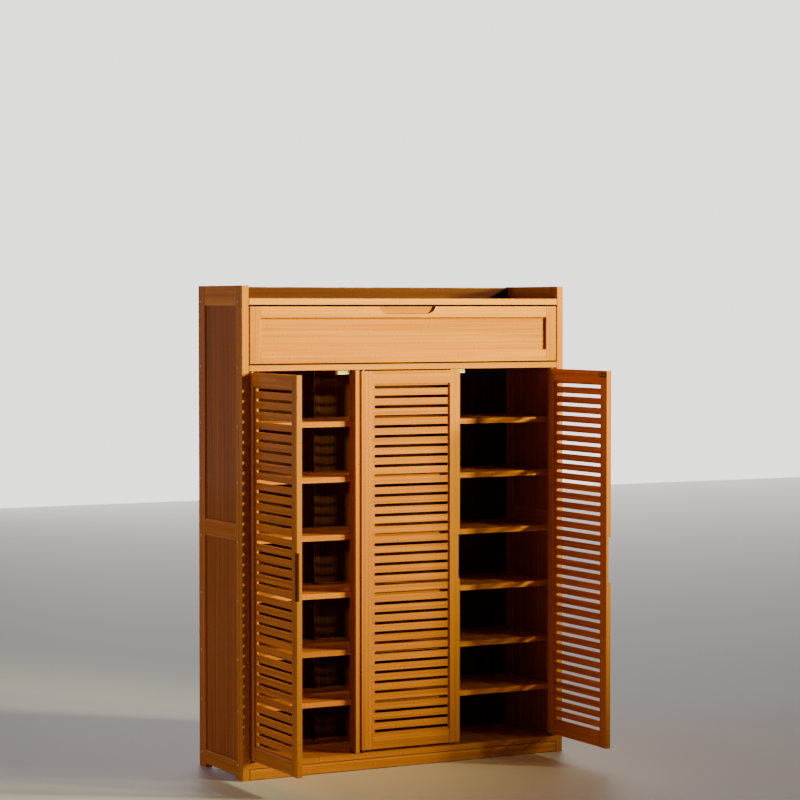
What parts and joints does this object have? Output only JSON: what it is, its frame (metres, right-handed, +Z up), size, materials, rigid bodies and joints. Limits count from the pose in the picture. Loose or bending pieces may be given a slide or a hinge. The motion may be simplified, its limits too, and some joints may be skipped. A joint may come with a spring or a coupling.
{
  "type": "shoe cabinet",
  "caption": "Tall bamboo shoe cabinet with framed sides, shoe tiers behind slatted pivot doors, a wide drawer above them and a low gallery round the top.",
  "frame": {"origin": "on the floor, midway across the width, and midway between the back and the free edges of the open outer doors, 2.25 mm in front of the side frames' front edges", "axes": "+X to the right as one faces the doors, +Y from the doors to the back boards, +Z up from the floor"},
  "size_m": [1.0416, 0.6045, 1.38],
  "materials": {
    "bamboo": "glossy lacquered carbonised bamboo",
    "slat_bamboo": "glossy lacquered carbonised bamboo, slotted panel",
    "inner_bamboo": "satin lacquered bamboo board",
    "white_plastic": "moulded, satin",
    "brown_nylon": "moulded nylon, satin",
    "steel": "zinc plated",
    "dark_steel": "dark plated"
  },
  "bodies": {
    "carcass": {"left_front_stile": "bamboo", "left_back_stile": "bamboo", "left_top_rail": "bamboo", "left_mid_rail": "bamboo", "left_low_rail": "bamboo", "left_panels": "bamboo", "right_front_stile": "bamboo", "right_back_stile": "bamboo", "right_top_rail": "bamboo", "right_mid_rail": "bamboo", "right_low_rail": "bamboo", "right_panels": "bamboo", "top_board": "bamboo", "gallery_board": "bamboo", "drawer_deck": "bamboo", "bottom_board": "bamboo", "plinth": "bamboo", "plinth_blocks": "inner_bamboo", "front_post": "bamboo", "rear_post": "inner_bamboo", "shelf_1": "inner_bamboo", "shelf_2": "inner_bamboo", "shelf_3": "inner_bamboo", "shelf_4": "inner_bamboo", "shelf_5": "inner_bamboo", "shelf_6": "inner_bamboo", "back_boards": "inner_bamboo", "catches": "white_plastic", "pivot_bushes": "brown_nylon", "side_screws": "steel", "outer_runners": "steel"},
    "drawer": {"drawer_top_rail": "bamboo", "drawer_low_rail": "bamboo", "drawer_stiles": "bamboo", "drawer_panel": "bamboo", "drawer_sides": "inner_bamboo", "drawer_back": "inner_bamboo", "drawer_bottom": "inner_bamboo", "inner_runners": "steel"},
    "door_left": {"left_hinge_stile": "bamboo", "left_pull_stile": "bamboo", "left_door_top_rail": "bamboo", "left_door_low_rail": "bamboo", "left_slats": "slat_bamboo", "left_pins": "steel", "left_strike": "dark_steel"},
    "door_middle": {"middle_hinge_stile": "bamboo", "middle_pull_stile": "bamboo", "middle_door_top_rail": "bamboo", "middle_door_low_rail": "bamboo", "middle_slats": "slat_bamboo", "middle_pins": "steel", "middle_strike": "dark_steel"},
    "door_right": {"right_hinge_stile": "bamboo", "right_pull_stile": "bamboo", "right_door_top_rail": "bamboo", "right_door_low_rail": "bamboo", "right_slats": "slat_bamboo", "right_pins": "steel", "right_strike": "dark_steel"}
  },
  "joints": [
    {"name": "door_left_pivot", "type": "hinge", "parent": "carcass", "child": "door_left", "pos_m": [-0.4865, 0.00975, 0.597], "axis": [0, 0, 1], "range_deg": [-19, 91]},
    {"name": "door_middle_pivot", "type": "hinge", "parent": "carcass", "child": "door_middle", "pos_m": [-0.1405, 0.00975, 0.597], "axis": [0, 0, -1], "range_deg": [0, 110]},
    {"name": "door_right_pivot", "type": "hinge", "parent": "carcass", "child": "door_right", "pos_m": [0.4865, 0.00975, 0.597], "axis": [0, 0, -1], "range_deg": [-20, 90]},
    {"name": "drawer_slide", "type": "slide", "parent": "carcass", "child": "drawer", "axis": [0, -1, 0], "range_m": [0, 0.19]}
  ]
}
